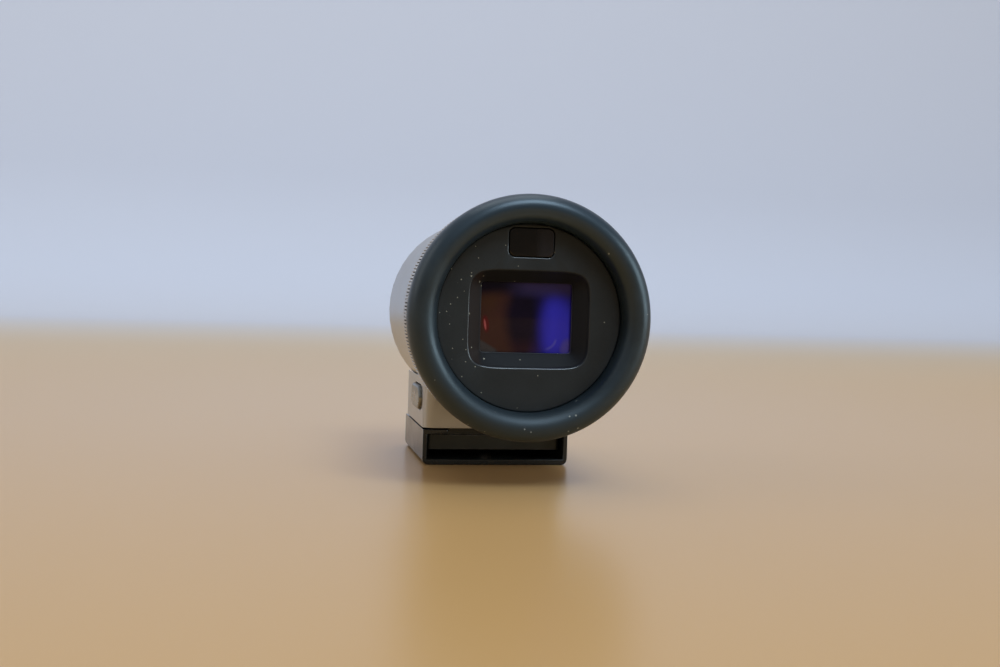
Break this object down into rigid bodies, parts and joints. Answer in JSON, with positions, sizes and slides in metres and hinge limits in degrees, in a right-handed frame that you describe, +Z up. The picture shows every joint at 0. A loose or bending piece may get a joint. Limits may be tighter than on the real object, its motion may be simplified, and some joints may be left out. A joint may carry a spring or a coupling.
{
  "type": "electronic viewfinder",
  "caption": "Round slide-in electronic viewfinder with a rubber eyecup, a knurled diopter ring and a locking foot, standing in its slide-on foot cover.",
  "frame": {"origin": "under the middle of the whole part, on the surface that its foot cover stands on", "axes": "+Y along the barrel from the eye to the front, +X to the right as the eye sees it, +Z up"},
  "size_m": [0.0294, 0.041, 0.035],
  "materials": {
    "eyecup_rubber": "satin rubber",
    "dark_plastic": "matte black plastic",
    "cover_plastic": "glossy black plastic",
    "window_glass": "coated glass",
    "sensor_glass": "dark infrared filter",
    "lens_glass": "clear glass",
    "satin_silver": "satin anodised",
    "foot_metal": "dark coated steel",
    "steel": "plain steel",
    "gold_contact": "gold plated",
    "board_green": "circuit board",
    "chip_black": "moulded package",
    "flex_amber": "polyimide film",
    "foam_black": "foam",
    "light_box_white": "white plastic"
  },
  "bodies": {
    "housing": {"eyecup": "eyecup_rubber", "eyepiece_plate": "dark_plastic", "eyepiece_window": "window_glass", "sensor_window": "sensor_glass", "sensor_module": "chip_black", "sensor_board": "board_green", "sensor_flex": "flex_amber", "ring_washer": "steel", "chassis_tube": "dark_plastic", "display_mask": "dark_plastic", "display_gasket": "foam_black", "display_panel": "lens_glass", "backlight_unit": "light_box_white", "display_bracket": "dark_plastic", "bracket_screw_left": "steel", "bracket_screw_right": "steel", "display_flex": "flex_amber", "main_board": "board_green", "board_screw_left": "steel", "board_screw_right": "steel", "processor_chip": "chip_black", "memory_chip": "chip_black", "flex_socket": "light_box_white", "main_flex": "flex_amber", "barrel_shell": "satin_silver", "front_cap": "satin_silver", "base_block": "satin_silver", "body_screw_left": "steel", "body_screw_right": "steel", "foot_plate": "foot_metal", "foot_screw_1": "steel", "foot_screw_2": "steel", "foot_screw_3": "steel", "foot_screw_4": "steel", "connector_block": "dark_plastic", "contact_comb": "gold_contact", "spring_bracket": "steel", "button_spring": "steel", "pin_spring": "steel"},
    "adjusting_ring": {"diopter_ring": "satin_silver"},
    "lens_cell": {"lens_carrier": "dark_plastic", "guide_pin_left": "steel", "guide_pin_right": "steel", "rear_lens": "lens_glass", "lens_spacer": "dark_plastic", "middle_lens": "lens_glass", "front_lens": "lens_glass", "lens_retainer": "dark_plastic"},
    "button": {"release_button": "satin_silver", "lock_slide": "steel"},
    "pin": {"lock_pin": "steel"},
    "cover": {"foot_cover": "cover_plastic"}
  },
  "joints": [
    {"name": "diopter_ring_turn", "type": "hinge", "parent": "housing", "child": "adjusting_ring", "pos_m": [0, -0.0137, 0.0203], "axis": [0, 1, 0], "range_deg": [-30, 90]},
    {"name": "lens_cell_slide", "type": "slide", "parent": "housing", "child": "lens_cell", "axis": [0, 1, 0], "range_m": [-0.00042, 0.00126]},
    {"name": "release_button_press", "type": "slide", "parent": "housing", "child": "button", "axis": [1, 0, 0], "range_m": [0, 0.00075], "stiffness_N_per_m": 400, "springref_m": -0.001, "deforming": ["button_spring", "pin_spring"]},
    {"name": "lock_pin_retract", "type": "slide", "parent": "housing", "child": "pin", "axis": [0, 0, 1], "range_m": [0, 0.00075], "stiffness_N_per_m": 300, "springref_m": -0.001},
    {"name": "foot_cover_slide", "type": "slide", "parent": "housing", "child": "cover", "axis": [0, 1, 0], "range_m": [0, 0.0195]}
  ],
  "couplings": [
    {"joint": "diopter_ring_turn", "follows": "lens_cell_slide", "rad_per_m": 1250},
    {"joint": "lock_pin_retract", "follows": "release_button_press", "ratio": 1}
  ]
}
